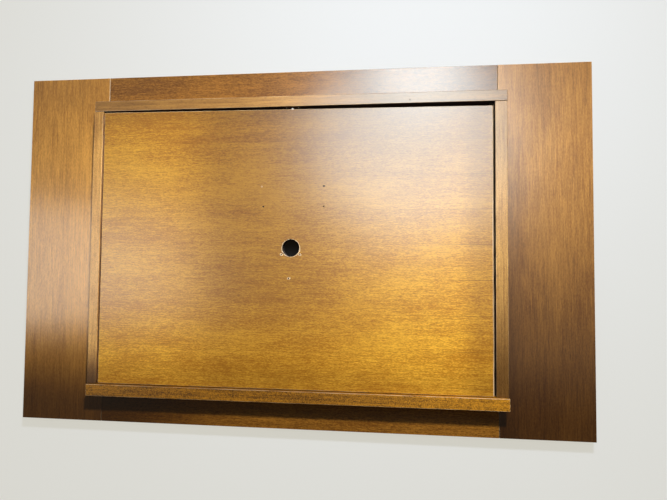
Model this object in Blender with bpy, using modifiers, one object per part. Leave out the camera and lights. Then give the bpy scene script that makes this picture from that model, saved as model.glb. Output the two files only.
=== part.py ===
"""A wall-hung television panel: a veneered back frame, a raised frame and a hinged cable door.

The front faces -Y and the wall is the plane Y = 0. Places are written from the panel's centre on
that plane. The whole part is then shifted so that the origin lies in the middle of the wall
cleat's back face, where the panel is fastened.
"""

import math

import bmesh
import bpy
from mathutils import Matrix, Vector

# Back frame
PANEL_WIDTH = 1.950
PANEL_HEIGHT = 1.220
STILE_WIDTH = 0.2975
RAIL_HEIGHT = 0.123
BOARD_THICKNESS = 0.018
BOARD_EASE = 0.0010
SEAM_GAP = 0.0010

# Softwood behind the boards
GROUND_DEPTH = 0.032
GROUND_WIDTH = 0.045
EDGE_SETBACK = 0.012
WALL_CLEAT_HEIGHT = 0.038
WALL_CLEAT_RISE = 0.003
WALL_CLEAT_END_GAP = 0.025
CLEAT_CLEARANCE = 0.0010
WALL_SCREW_HOLES = 4
WALL_SCREW_MARGIN = 0.060
WALL_SCREW_HOLE_RADIUS = 0.003

# Raised frame
TOP_LAP = 0.017
LEDGE_LAP = 0.018
LEFT_LAP = 0.0195
RIGHT_LAP = 0.016
END_LAP = 0.017
TOP_BATTEN_HEIGHT = 0.0353
LEDGE_HEIGHT = 0.0386
LEFT_BATTEN_WIDTH = 0.033
RIGHT_BATTEN_WIDTH = 0.038
BATTEN_PROUD = 0.060
LEDGE_PROUD = 0.070
BATTEN_EASE = 0.0015

# Door, whose top edge is out of square with the batten above it
DOOR_THICKNESS = 0.018
DOOR_RECESS = 0.002
DOOR_EASE = 0.0014
TOP_GAP_LEFT = 0.005
TOP_GAP_RIGHT = 0.014
RIGHT_GAP = 0.0065
BOTTOM_GAP = 0.0024
STOP_WIDTH = 0.012
STOP_THICKNESS = 0.015

# Cable hole and the screw holes that a television bracket leaves
CABLE_HOLE_RADIUS = 0.0290
CABLE_HOLE_X = 0.001
CABLE_HOLE_Z = -0.003
PILOT_RADIUS = 0.0023
BRACKET_X = 0.008
BRACKET_LOWER_Z = 0.134
BRACKET_UPPER_Z = 0.201
BRACKET_SPACING = 0.202
RIM_HOLE_DISTANCE = 0.0084
RIM_HOLE_ANGLE = math.radians(35)
LOW_HOLE_X = -0.005
LOW_HOLE_DROP = 0.100
BACKER_THICKNESS = 0.018
BACKER_MARGIN = 0.060

# Continuous hinge
PIN_RADIUS = 0.0011
PIN_CLEARANCE = 0.0002
LEAF_THICKNESS = 0.0008
LEAF_INSET = 0.003
HINGE_END_MARGIN = 0.008
KNUCKLE_PITCH = 0.038
KNUCKLE_GAP = 0.0006
HINGE_SCREWS = 5
HINGE_SCREW_MARGIN = 0.060

# Ball catch
CATCH_X = 0.0
BARREL_RADIUS = 0.0055
BARREL_WALL = 0.0013
BARREL_DEPTH = 0.022
PLUNGER_TRAVEL = 0.0025
CATCH_CLEARANCE = 0.0004
STRIKE_LENGTH = 0.056
STRIKE_WIDTH = 0.014
STRIKE_THICKNESS = 0.0015
STRIKE_DIMPLE_RADIUS = 0.0026
STRIKE_SCREWS = 2
STRIKE_SCREW_SPACING = 0.040

# Fasteners
DOWEL_RADIUS = 0.004
DOWEL_LENGTH = 0.036
DOWEL_INSET = 0.030
BATTEN_SCREW_HEAD = 0.0040
BATTEN_SCREW_SHANK = 0.0020
BATTEN_SCREW_BITE = 0.028
BATTEN_SCREW_MARGIN = 0.060
TOP_BATTEN_SCREWS = 3
LEDGE_SCREWS = 4
SIDE_BATTEN_SCREWS = 2
SMALL_SCREW_HEAD = 0.0026
SMALL_SCREW_SHANK = 0.0013
SMALL_SCREW_LENGTH = 0.014
SCREW_TIP = 0.003

# Fits and facets
FIT_GAP = 0.0003
CUT_OVERSHOOT = 0.003
WELD_DISTANCE = 1e-6
EASE_SEGMENTS = 2
HOLE_SIDES = 40
SMALL_SIDES = 12
KNUCKLE_SIDES = 16
DOME_STEPS = 4
SHARP_ANGLE = math.radians(35)

# Levels that several pieces share, worked out from the sizes above
half_width = PANEL_WIDTH / 2
half_height = PANEL_HEIGHT / 2
board_back = -GROUND_DEPTH
board_front = board_back - BOARD_THICKNESS
board_mid = (board_front + board_back) / 2
opening_x = half_width - STILE_WIDTH
opening_z = half_height - RAIL_HEIGHT
raised_x = opening_x + END_LAP
raised_left = -opening_x - LEFT_LAP
raised_right = opening_x + RIGHT_LAP
raised_top = opening_z + TOP_LAP
raised_bottom = -opening_z - LEDGE_LAP
batten_front = board_front - BATTEN_PROUD
ledge_front = board_front - LEDGE_PROUD
frame_left = raised_left + LEFT_BATTEN_WIDTH
frame_right = raised_right - RIGHT_BATTEN_WIDTH
frame_top = raised_top - TOP_BATTEN_HEIGHT
frame_bottom = raised_bottom + LEDGE_HEIGHT

door_front = batten_front + DOOR_RECESS
door_back = door_front + DOOR_THICKNESS
door_mid = (door_front + door_back) / 2
backer_front = door_back + FIT_GAP
backer_back = backer_front + BACKER_THICKNESS
pin_bore = PIN_RADIUS + PIN_CLEARANCE
knuckle_radius = pin_bore + LEAF_THICKNESS
leaf_depth = DOOR_THICKNESS - LEAF_INSET
hinge_x = frame_left + FIT_GAP + knuckle_radius
door_left = hinge_x + knuckle_radius + FIT_GAP
door_right = frame_right - RIGHT_GAP
door_bottom = frame_bottom + BOTTOM_GAP
door_top_left = frame_top - TOP_GAP_LEFT
door_top_right = frame_top - TOP_GAP_RIGHT
hinge_bottom = door_bottom + HINGE_END_MARGIN
hinge_top = door_top_left - HINGE_END_MARGIN

wall_cleat_bottom = opening_z + WALL_CLEAT_RISE
wall_cleat_top = wall_cleat_bottom + WALL_CLEAT_HEIGHT
hanging_cleat_low = wall_cleat_top + CLEAT_CLEARANCE
wall_cleat_middle = (wall_cleat_bottom + wall_cleat_top) / 2

PART_COLLECTION = "tv_wall_panel"
CUTTER_COLLECTION = "cutters"

# Turns that lay an outline drawn in local X and Y, and pushed out along local Z, along an axis
AXIS_TURNS = {
    "X": (math.pi / 2, 0.0, math.pi / 2),
    "Y": (math.pi / 2, 0.0, 0.0),
    "Z": (0.0, 0.0, 0.0),
}

# Finishes: base colour, roughness and metallic value
FINISHES = {
    "stile_veneer": ((0.27, 0.12, 0.035), 0.35, 0.0),
    "rail_veneer": ((0.31, 0.145, 0.04), 0.35, 0.0),
    "batten_wood": ((0.34, 0.165, 0.05), 0.40, 0.0),
    "door_veneer": ((0.42, 0.205, 0.055), 0.32, 0.0),
    "softwood": ((0.62, 0.45, 0.27), 0.75, 0.0),
    "plywood": ((0.55, 0.38, 0.22), 0.70, 0.0),
    "dowel_beech": ((0.66, 0.47, 0.29), 0.65, 0.0),
    "hinge_bronze": ((0.24, 0.13, 0.055), 0.45, 1.0),
    "screw_steel": ((0.55, 0.52, 0.46), 0.40, 1.0),
    "catch_nickel": ((0.72, 0.69, 0.64), 0.30, 1.0),
}


def clear_scene():
    """Remove every object, so that the script can be run again in the same file."""
    for obj in list(bpy.data.objects):
        bpy.data.objects.remove(obj, do_unlink=True)


def get_collection(name):
    """Find or make a collection in the scene."""
    collection = bpy.data.collections.get(name)
    if collection is None:
        collection = bpy.data.collections.new(name)
        bpy.context.scene.collection.children.link(collection)
    return collection


def get_material(name):
    """Find or make one of the finishes."""
    material = bpy.data.materials.get(name)
    if material is None:
        material = bpy.data.materials.new(name)
        material.use_nodes = True
    colour, roughness, metallic = FINISHES[name]
    shader = material.node_tree.nodes["Principled BSDF"]
    shader.inputs["Base Color"].default_value = (*colour, 1.0)
    shader.inputs["Roughness"].default_value = roughness
    shader.inputs["Metallic"].default_value = metallic
    return material


def add_empty(name, place, parent):
    """Add an empty that remembers its place from the panel's centre."""
    empty = bpy.data.objects.new(name, None)
    get_collection(PART_COLLECTION).objects.link(empty)
    empty["place"] = place
    empty.parent = parent
    if parent is not None:
        empty.location = Vector(place) - Vector(parent["place"])
    return empty


def add_object(name, mesh, place, parent, finish):
    """Link a mesh as a part, or as a cutter if it has no finish."""
    obj = bpy.data.objects.new(name, mesh)
    obj.parent = parent
    obj.location = Vector(place) - Vector(parent["place"])
    if finish is None:
        get_collection(CUTTER_COLLECTION).objects.link(obj)
        obj.hide_render = True
        obj.display_type = "WIRE"
    else:
        get_collection(PART_COLLECTION).objects.link(obj)
        mesh.materials.append(get_material(finish))
    return obj


def box(name, low, high, parent, finish, ease=0.0):
    """A box between two corners, with eased edges where a width is given."""
    size = Vector(high) - Vector(low)
    middle = (Vector(high) + Vector(low)) / 2
    bm = bmesh.new()
    bmesh.ops.create_cube(bm, size=1.0, matrix=Matrix.Diagonal((*size, 1.0)))
    mesh = bpy.data.meshes.new(name)
    bm.to_mesh(mesh)
    bm.free()
    obj = add_object(name, mesh, middle, parent, finish)
    if ease > 0.0:
        ease_edges(obj, ease)
    return obj


def ease_edges(obj, width):
    """Round an object's sharp edges."""
    bevel = obj.modifiers.new("eased_edges", "BEVEL")
    bevel.width = width
    bevel.segments = EASE_SEGMENTS
    bevel.limit_method = "ANGLE"


def cylinder(name, radius, length, axis, middle, parent, finish, sides=SMALL_SIDES):
    """A closed cylinder along X, Y or Z about its middle."""
    bm = bmesh.new()
    bmesh.ops.create_cone(
        bm,
        cap_ends=True,
        segments=sides,
        radius1=radius,
        radius2=radius,
        depth=length,
    )
    mesh = bpy.data.meshes.new(name)
    bm.to_mesh(mesh)
    bm.free()
    mesh.shade_smooth()
    mesh.set_sharp_from_angle(angle=SHARP_ANGLE)
    obj = add_object(name, mesh, middle, parent, finish)
    obj.rotation_euler = AXIS_TURNS[axis]
    return obj


def prism(name, outlines, axis, length, place, parent, finish):
    """A flat outline pushed out along an axis. A second outline inside the first is a hole."""
    curve = bpy.data.curves.new(name, "CURVE")
    curve.dimensions = "2D"
    curve.fill_mode = "BOTH"
    curve.extrude = length / 2
    for outline in outlines:
        spline = curve.splines.new("POLY")
        spline.points.add(len(outline) - 1)
        for point, (across, up) in zip(spline.points, outline):
            point.co = (across, up, 0.0, 1.0)
        spline.use_cyclic_u = True
    drawing = bpy.data.objects.new(name + "_outline", curve)
    bpy.context.scene.collection.objects.link(drawing)
    depsgraph = bpy.context.evaluated_depsgraph_get()
    mesh = bpy.data.meshes.new_from_object(drawing.evaluated_get(depsgraph))
    bpy.data.objects.remove(drawing, do_unlink=True)
    bm = bmesh.new()
    bm.from_mesh(mesh)
    bmesh.ops.remove_doubles(bm, verts=bm.verts, dist=WELD_DISTANCE)
    bmesh.ops.recalc_face_normals(bm, faces=bm.faces)
    bm.to_mesh(mesh)
    bm.free()
    mesh.name = name
    mesh.materials.clear()
    obj = add_object(name, mesh, place, parent, finish)
    obj.rotation_euler = AXIS_TURNS[axis]
    return obj


def turned(name, profile, place, turn, parent, finish):
    """A turned piece: a profile of (radius, height) points that ends on the axis at both ends."""
    mesh = bpy.data.meshes.new(name)
    points = [(radius, 0.0, height) for radius, height in profile]
    edges = [(index, index + 1) for index in range(len(points) - 1)]
    mesh.from_pydata(points, edges, [])
    obj = add_object(name, mesh, place, parent, finish)
    obj.rotation_euler = turn
    screw = obj.modifiers.new("turned", "SCREW")
    screw.steps = SMALL_SIDES
    screw.render_steps = SMALL_SIDES
    screw.use_merge_vertices = True
    screw.merge_threshold = WELD_DISTANCE
    screw.use_smooth_shade = True
    return obj


def cut(target, cutter):
    """Take a cutter's shape out of a part."""
    boolean = target.modifiers.new("cut_" + cutter.name, "BOOLEAN")
    boolean.operation = "DIFFERENCE"
    boolean.solver = "EXACT"
    boolean.object = cutter


def rectangle(left, right, bottom, top):
    """The outline of a rectangle."""
    return [(left, bottom), (right, bottom), (right, top), (left, top)]


def spread(count, half_span):
    """Evenly spaced places from one end of a span to the other."""
    step = 2 * half_span / (count - 1)
    return [index * step - half_span for index in range(count)]


def wood_screw(name, place, direction, sizes, parent, through):
    """A countersunk screw, flush at its place, with its clearance hole in each piece it goes through."""
    head, shank, length = sizes
    sink = head - shank
    turn = Vector((0.0, 0.0, -1.0)).rotation_difference(Vector(direction)).to_euler()
    profile = [
        (0.0, 0.0),
        (head, 0.0),
        (shank, -sink),
        (shank, SCREW_TIP - length),
        (0.0, -length),
    ]
    hole = [
        (0.0, CUT_OVERSHOOT),
        (head + FIT_GAP, CUT_OVERSHOOT),
        (head + FIT_GAP, 0.0),
        (shank + FIT_GAP, -sink),
        (shank + FIT_GAP, -length - FIT_GAP),
        (0.0, -length - FIT_GAP),
    ]
    turned(name, profile, place, turn, parent, "screw_steel")
    cutter = turned(name + "_hole", hole, place, turn, parent, None)
    for piece in through:
        cut(piece, cutter)


def build_boards(centre):
    """The four face boards, with dowels across their seams."""
    seam = SEAM_GAP / 2
    depth = (board_front, board_back)
    boards = {}
    for side, sign in (("left", -1), ("right", 1)):
        ends = sorted((sign * half_width, sign * (opening_x + seam)))
        low = (ends[0], depth[0], -half_height)
        high = (ends[1], depth[1], half_height)
        boards[side] = box(side + "_stile", low, high, centre, "stile_veneer", BOARD_EASE)
    for row, sign in (("top", 1), ("bottom", -1)):
        ends = sorted((sign * half_height, sign * opening_z))
        low = (-opening_x + seam, depth[0], ends[0])
        high = (opening_x - seam, depth[1], ends[1])
        boards[row] = box(row + "_rail", low, high, centre, "rail_veneer", BOARD_EASE)
    for row, up in (("top", 1), ("bottom", -1)):
        for side, across in (("left", -1), ("right", 1)):
            heights = {"inner": opening_z + DOWEL_INSET, "outer": half_height - DOWEL_INSET}
            for level, height in heights.items():
                name = f"{row}_{side}_dowel_{level}"
                place = (across * opening_x, board_mid, up * height)
                cylinder(name, DOWEL_RADIUS, DOWEL_LENGTH, "X", place, centre, "dowel_beech")
                bore_radius = DOWEL_RADIUS + FIT_GAP
                bore_length = DOWEL_LENGTH + 2 * FIT_GAP
                bore = cylinder(name + "_bore", bore_radius, bore_length, "X", place, centre, None)
                cut(boards[side], bore)
                cut(boards[row], bore)
    return boards


def build_grounds(centre):
    """The softwood between the boards and the wall, hung on a pair of bevelled cleats."""
    front = board_back + FIT_GAP
    outer = half_width - EDGE_SETBACK
    top = half_height - EDGE_SETBACK
    hung = [
        (-CLEAT_CLEARANCE, top),
        (front, top),
        (front, hanging_cleat_low - front),
        (-CLEAT_CLEARANCE, hanging_cleat_low + CLEAT_CLEARANCE),
    ]
    prism("hanging_cleat", [hung], "X", 2 * outer, (0, 0, 0), centre, "softwood")

    fixed_front = board_back + CLEAT_CLEARANCE
    fixed = [
        (0.0, wall_cleat_bottom),
        (fixed_front, wall_cleat_bottom),
        (fixed_front, wall_cleat_top - fixed_front),
        (0.0, wall_cleat_top),
    ]
    half_length = opening_x - WALL_CLEAT_END_GAP
    wall_cleat = prism("wall_cleat", [fixed], "X", 2 * half_length, (0, 0, 0), centre, "softwood")
    bore_length = GROUND_DEPTH + 2 * CUT_OVERSHOOT
    for index, across in enumerate(spread(WALL_SCREW_HOLES, half_length - WALL_SCREW_MARGIN)):
        place = (across, -GROUND_DEPTH / 2, wall_cleat_middle)
        name = f"wall_screw_hole_{index + 1}"
        bore = cylinder(name, WALL_SCREW_HOLE_RADIUS, bore_length, "Y", place, centre, None)
        cut(wall_cleat, bore)

    foot = GROUND_WIDTH - top
    box("bottom_ground", (-outer, front, -top), (outer, 0, foot), centre, "softwood")
    upright_low = foot + FIT_GAP
    upright_high = hanging_cleat_low - FIT_GAP
    for side, sign in (("left", -1), ("right", 1)):
        spans = {
            "outer": (sign * outer, sign * (outer - GROUND_WIDTH)),
            "inner": (sign * opening_x, sign * (opening_x + GROUND_WIDTH)),
        }
        for level, ends in spans.items():
            low = (min(ends), front, upright_low)
            high = (max(ends), 0, upright_high)
            box(f"{side}_{level}_ground", low, high, centre, "softwood")
        near = opening_x + GROUND_WIDTH + FIT_GAP
        far = outer - GROUND_WIDTH - FIT_GAP
        ends = sorted((sign * near, sign * far))
        low = (ends[0], front, -GROUND_WIDTH / 2)
        high = (ends[1], 0, GROUND_WIDTH / 2)
        box(side + "_noggin", low, high, centre, "softwood")


def build_raised_frame(centre, boards):
    """The battens and the ledge, rebated over the edge of the boards and screwed from behind."""
    upright_low = frame_bottom + FIT_GAP
    upright_high = frame_top - FIT_GAP
    corners = {
        "top_batten": ((-raised_x, batten_front, frame_top), (raised_x, board_back, raised_top)),
        "left_batten": ((raised_left, batten_front, upright_low), (frame_left, board_back, upright_high)),
        "right_batten": ((frame_right, batten_front, upright_low), (raised_right, board_back, upright_high)),
        "bottom_ledge": ((-raised_x, ledge_front, raised_bottom), (raised_x, board_back, frame_bottom)),
    }
    beyond_x = opening_x + max(END_LAP, LEFT_LAP, RIGHT_LAP) + CUT_OVERSHOOT
    beyond_z = opening_z + max(TOP_LAP, LEDGE_LAP) + CUT_OVERSHOOT
    inside_x = opening_x - FIT_GAP
    inside_z = opening_z - FIT_GAP
    rebate_outlines = [
        rectangle(-beyond_x, beyond_x, -beyond_z, beyond_z),
        rectangle(-inside_x, inside_x, -inside_z, inside_z),
    ]
    rebate_depth = BOARD_THICKNESS + FIT_GAP + CUT_OVERSHOOT
    place = (0, board_front - FIT_GAP + rebate_depth / 2, 0)
    rebate = prism("board_rebate", rebate_outlines, "Y", rebate_depth, place, centre, None)
    frame = {}
    for name, (low, high) in corners.items():
        frame[name] = box(name, low, high, centre, "batten_wood", BATTEN_EASE)
        cut(frame[name], rebate)

    left_lap = -opening_x - LEFT_LAP / 2
    right_lap = opening_x + RIGHT_LAP / 2
    top_lap = opening_z + TOP_LAP / 2
    ledge_lap = -opening_z - LEDGE_LAP / 2
    across_span = opening_x - BATTEN_SCREW_MARGIN
    up_span = opening_z - 2 * BATTEN_SCREW_MARGIN
    levels = spread(SIDE_BATTEN_SCREWS, up_span)
    rows = {
        "top_batten": ("top", [(across, top_lap) for across in spread(TOP_BATTEN_SCREWS, across_span)]),
        "bottom_ledge": ("bottom", [(across, ledge_lap) for across in spread(LEDGE_SCREWS, across_span)]),
        "left_batten": ("left", [(left_lap, up) for up in levels]),
        "right_batten": ("right", [(right_lap, up) for up in levels]),
    }
    sizes = (BATTEN_SCREW_HEAD, BATTEN_SCREW_SHANK, BOARD_THICKNESS + BATTEN_SCREW_BITE)
    for name, (side, places) in rows.items():
        for index, (across, up) in enumerate(places):
            screw_name = f"{name}_screw_{index + 1}"
            place = (across, board_back, up)
            wood_screw(screw_name, place, (0, -1, 0), sizes, centre, [boards[side], frame[name]])
    return frame


def build_door(door_axis):
    """The door with its holes, and the board behind it that takes the bracket's screws."""
    outline = [
        (door_left, door_bottom),
        (door_right, door_bottom),
        (door_right, door_top_right),
        (door_left, door_top_left),
    ]
    place = (0, door_mid, 0)
    door = prism("door_panel", [outline], "Y", DOOR_THICKNESS, place, door_axis, "door_veneer")
    ease_edges(door, DOOR_EASE)

    half_backer = BRACKET_SPACING / 2 + BACKER_MARGIN
    backer_bottom = CABLE_HOLE_Z - LOW_HOLE_DROP - BACKER_MARGIN
    backer_top = BRACKET_UPPER_Z + BACKER_MARGIN
    low = (BRACKET_X - half_backer, backer_front, backer_bottom)
    high = (BRACKET_X + half_backer, backer_back, backer_top)
    backer = box("bracket_backer", low, high, door_axis, "plywood")

    bore_length = backer_back - door_front + 2 * CUT_OVERSHOOT
    bore_mid = (backer_back + door_front) / 2
    place = (CABLE_HOLE_X, bore_mid, CABLE_HOLE_Z)
    bore = cylinder("cable_hole", CABLE_HOLE_RADIUS, bore_length, "Y", place, door_axis, None, HOLE_SIDES)
    cut(door, bore)
    cut(backer, bore)

    rim = CABLE_HOLE_RADIUS + RIM_HOLE_DISTANCE
    rim_x = rim * math.cos(RIM_HOLE_ANGLE)
    rim_z = CABLE_HOLE_Z - rim * math.sin(RIM_HOLE_ANGLE)
    pilots = [
        (BRACKET_X + BRACKET_SPACING / 2, BRACKET_UPPER_Z),
        (BRACKET_X + BRACKET_SPACING / 2, BRACKET_LOWER_Z),
        (BRACKET_X - BRACKET_SPACING / 2, BRACKET_LOWER_Z),
        (CABLE_HOLE_X - rim_x, rim_z),
        (CABLE_HOLE_X + rim_x, rim_z),
        (LOW_HOLE_X, CABLE_HOLE_Z - LOW_HOLE_DROP),
    ]
    for index, (across, up) in enumerate(pilots):
        place = (across, bore_mid, up)
        name = f"pilot_hole_{index + 1}"
        bore = cylinder(name, PILOT_RADIUS, bore_length, "Y", place, door_axis, None)
        cut(door, bore)
        cut(backer, bore)
    return door


def build_stop(centre):
    """The strip on the right batten that the closed door rests on."""
    low = (frame_right - FIT_GAP - STOP_WIDTH, door_back + FIT_GAP, frame_bottom + FIT_GAP)
    high = (frame_right - FIT_GAP, door_back + FIT_GAP + STOP_THICKNESS, frame_top - FIT_GAP)
    box("door_stop", low, high, centre, "batten_wood", BATTEN_EASE)


def leaf_outline(side):
    """A hinge leaf seen from above: its plate runs back from a rolled knuckle around the pin.

    The plate lies on the left of the pin for side -1 and on the right for side 1.
    """
    inner = knuckle_radius - LEAF_THICKNESS
    join = math.asin(inner / knuckle_radius) + math.pi / 2
    outline = [(-knuckle_radius, leaf_depth)]
    for step in range(KNUCKLE_SIDES + 1):
        angle = math.pi + (math.pi + join) * step / KNUCKLE_SIDES
        outline.append((knuckle_radius * math.cos(angle), knuckle_radius * math.sin(angle)))
    outline.append((-inner, leaf_depth))
    bore = []
    for step in range(KNUCKLE_SIDES):
        angle = 2 * math.pi * step / KNUCKLE_SIDES
        bore.append((pin_bore * math.cos(angle), pin_bore * math.sin(angle)))
    return [[(-side * across, back) for across, back in loop] for loop in (outline, bore)]


def build_hinge(centre, door_axis, left_batten, door):
    """The continuous hinge: two leaves with alternate knuckles on one pin."""
    height = hinge_top - hinge_bottom
    middle = (hinge_top + hinge_bottom) / 2
    place = (hinge_x, door_front, middle)
    frame_leaf = prism(
        "hinge_frame_leaf", leaf_outline(-1), "Z", height, place, centre, "hinge_bronze"
    )
    door_leaf = prism(
        "hinge_door_leaf", leaf_outline(1), "Z", height, place, door_axis, "hinge_bronze"
    )
    cylinder("hinge_pin", PIN_RADIUS, height, "Z", place, centre, "hinge_bronze")

    pairs = max(1, round(height / (2 * KNUCKLE_PITCH)))
    count = 2 * pairs + 1
    pitch = height / count
    reach = knuckle_radius + KNUCKLE_GAP
    for leaf, first, parent in ((frame_leaf, 1, centre), (door_leaf, 0, door_axis)):
        bm = bmesh.new()
        for index in range(first, count, 2):
            level = pitch * (index + 0.5) - height / 2
            size = Matrix.Diagonal((2 * reach, 2 * reach, pitch + KNUCKLE_GAP, 1.0))
            bmesh.ops.create_cube(bm, size=1.0, matrix=Matrix.Translation((0, 0, level)) @ size)
        mesh = bpy.data.meshes.new(leaf.name + "_slots")
        bm.to_mesh(mesh)
        bm.free()
        cut(leaf, add_object(leaf.name + "_slots", mesh, place, parent, None))

    sizes = (SMALL_SCREW_HEAD, SMALL_SCREW_SHANK, SMALL_SCREW_LENGTH)
    face = knuckle_radius - LEAF_THICKNESS
    back = door_front + (reach + leaf_depth) / 2
    for index, level in enumerate(spread(HINGE_SCREWS, height / 2 - HINGE_SCREW_MARGIN)):
        up = middle + level
        name = f"hinge_frame_screw_{index + 1}"
        wood_screw(name, (hinge_x - face, back, up), (-1, 0, 0), sizes, centre, [frame_leaf, left_batten])
        name = f"hinge_door_screw_{index + 1}"
        wood_screw(name, (hinge_x + face, back, up), (1, 0, 0), sizes, door_axis, [door_leaf, door])


def build_catch(centre, door_axis, door, top_batten):
    """The ball catch: a sprung plunger in the door's top edge and a strike plate above it."""
    share = (CATCH_X - door_left) / (door_right - door_left)
    edge = door_top_left + (door_top_right - door_top_left) * share
    strike_top = frame_top - FIT_GAP
    strike_bottom = strike_top - STRIKE_THICKNESS
    bore_radius = BARREL_RADIUS - BARREL_WALL
    floor = BARREL_WALL - BARREL_DEPTH
    place = (CATCH_X, door_mid, edge)
    no_turn = (0.0, 0.0, 0.0)
    barrel = [
        (0.0, floor),
        (bore_radius, floor),
        (bore_radius, 0.0),
        (BARREL_RADIUS, 0.0),
        (BARREL_RADIUS, -BARREL_DEPTH),
        (0.0, -BARREL_DEPTH),
    ]
    turned("catch_barrel", barrel, place, no_turn, door_axis, "catch_nickel")
    pocket_depth = BARREL_DEPTH + FIT_GAP
    pocket_place = (CATCH_X, door_mid, edge + (CUT_OVERSHOOT - pocket_depth) / 2)
    pocket_length = pocket_depth + CUT_OVERSHOOT
    pocket = cylinder(
        "catch_pocket", BARREL_RADIUS + FIT_GAP, pocket_length, "Z", pocket_place, door_axis, None
    )
    cut(door, pocket)

    plunger_radius = bore_radius - FIT_GAP
    tip = strike_bottom - CATCH_CLEARANCE - edge
    plunger = []
    for step in range(DOME_STEPS + 1):
        angle = math.pi / 2 * step / DOME_STEPS
        radius = plunger_radius * math.sin(angle)
        plunger.append((radius, tip - plunger_radius * (1 - math.cos(angle))))
    plunger.append((plunger_radius, floor + PLUNGER_TRAVEL + FIT_GAP))
    plunger.append((0.0, floor + PLUNGER_TRAVEL + FIT_GAP))
    turned("catch_plunger", plunger, place, no_turn, door_axis, "catch_nickel")

    low = (CATCH_X - STRIKE_LENGTH / 2, door_mid - STRIKE_WIDTH / 2, strike_bottom)
    high = (CATCH_X + STRIKE_LENGTH / 2, door_mid + STRIKE_WIDTH / 2, strike_top)
    strike = box("strike_plate", low, high, centre, "hinge_bronze")
    dimple_place = (CATCH_X, door_mid, (strike_bottom + strike_top) / 2)
    dimple_length = STRIKE_THICKNESS + 2 * CUT_OVERSHOOT
    dimple = cylinder(
        "strike_dimple", STRIKE_DIMPLE_RADIUS, dimple_length, "Z", dimple_place, centre, None
    )
    cut(strike, dimple)
    sizes = (SMALL_SCREW_HEAD, SMALL_SCREW_SHANK, SMALL_SCREW_LENGTH)
    for index, across in enumerate(spread(STRIKE_SCREWS, STRIKE_SCREW_SPACING / 2)):
        place = (CATCH_X + across, door_mid, strike_bottom)
        wood_screw(f"strike_screw_{index + 1}", place, (0, 0, 1), sizes, centre, [strike, top_batten])


def main():
    """Build the whole panel."""
    clear_scene()
    centre = add_empty("panel_centre", (0.0, 0.0, 0.0), None)
    centre.location = (0.0, 0.0, -wall_cleat_middle)
    door_axis = add_empty("door_axis", (hinge_x, door_front, 0.0), centre)
    boards = build_boards(centre)
    build_grounds(centre)
    frame = build_raised_frame(centre, boards)
    door = build_door(door_axis)
    build_stop(centre)
    build_hinge(centre, door_axis, frame["left_batten"], door)
    build_catch(centre, door_axis, door, frame["top_batten"])


main()
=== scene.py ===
"""Looks of the television wall panel: its finishes with painted light and shade, chips, filler and other
marks, screws, wall, light and camera.
"""

import math
import random

import bmesh
import bpy
from mathutils import Matrix, Vector


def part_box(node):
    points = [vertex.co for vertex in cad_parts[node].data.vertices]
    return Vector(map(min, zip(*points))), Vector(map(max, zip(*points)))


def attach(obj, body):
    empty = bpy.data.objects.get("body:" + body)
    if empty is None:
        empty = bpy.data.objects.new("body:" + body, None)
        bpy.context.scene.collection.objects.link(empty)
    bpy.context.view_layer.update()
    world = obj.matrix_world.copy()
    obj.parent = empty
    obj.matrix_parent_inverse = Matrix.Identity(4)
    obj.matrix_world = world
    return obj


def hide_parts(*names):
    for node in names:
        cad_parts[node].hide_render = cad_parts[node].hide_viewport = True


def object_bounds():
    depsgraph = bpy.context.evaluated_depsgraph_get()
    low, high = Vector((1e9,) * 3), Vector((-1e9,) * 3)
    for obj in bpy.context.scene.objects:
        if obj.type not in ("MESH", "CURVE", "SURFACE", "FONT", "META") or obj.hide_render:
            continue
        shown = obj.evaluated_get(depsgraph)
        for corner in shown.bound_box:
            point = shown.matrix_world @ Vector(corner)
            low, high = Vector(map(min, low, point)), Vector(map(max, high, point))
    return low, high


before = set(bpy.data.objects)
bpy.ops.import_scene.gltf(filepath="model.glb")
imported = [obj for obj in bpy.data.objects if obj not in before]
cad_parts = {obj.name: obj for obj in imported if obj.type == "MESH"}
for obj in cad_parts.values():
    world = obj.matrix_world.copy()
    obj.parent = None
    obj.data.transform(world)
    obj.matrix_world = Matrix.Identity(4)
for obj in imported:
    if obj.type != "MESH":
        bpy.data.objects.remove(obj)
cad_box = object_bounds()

# Camera, placed from the panel's centre on the wall
CAMERA_PLACE = (0.3041, -1.6500, -0.0706)
CAMERA_TURN = 0.1044
CAMERA_RISE = 0.0397
CAMERA_ROLL = 0.0086
CAMERA_SENSOR = 36.0
CAMERA_FOCUS = 25.71

# Lamps, placed from the panel's centre on the wall
KEY_PLACE = (0.56, -1.85, 1.22)
KEY_SIZE = (0.18, 0.18)
KEY_POWER = 65.0
KEY_COLOUR = (1.0, 0.97, 0.92)
GLARE_PLACE = (0.56, -1.85, 1.34)
GLARE_SIZE = (0.70, 0.70)
GLARE_POWER = 27.0
HALO_PLACE = (0.48, -1.85, 0.82)
HALO_SIZE = (1.45, 1.45)
HALO_POWER = 98.0
GLOSS_COLOUR = (0.86, 0.97, 1.0)
SIDE_PLACE = (-1.84, -1.90, -0.07)
SIDE_SIZE = (1.50, 0.90)
SIDE_POWER = 32.0
SIDE_COLOUR = (1.0, 0.98, 0.95)
BACK_PLACE = (0.0, 2.20, 1.30)
BACK_SIZE = (1.60, 1.60)
BACK_POWER = 45.0
WORLD_LIGHT = 0.05
WORLD_PALE = (0.88, 0.89, 0.88)

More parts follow.
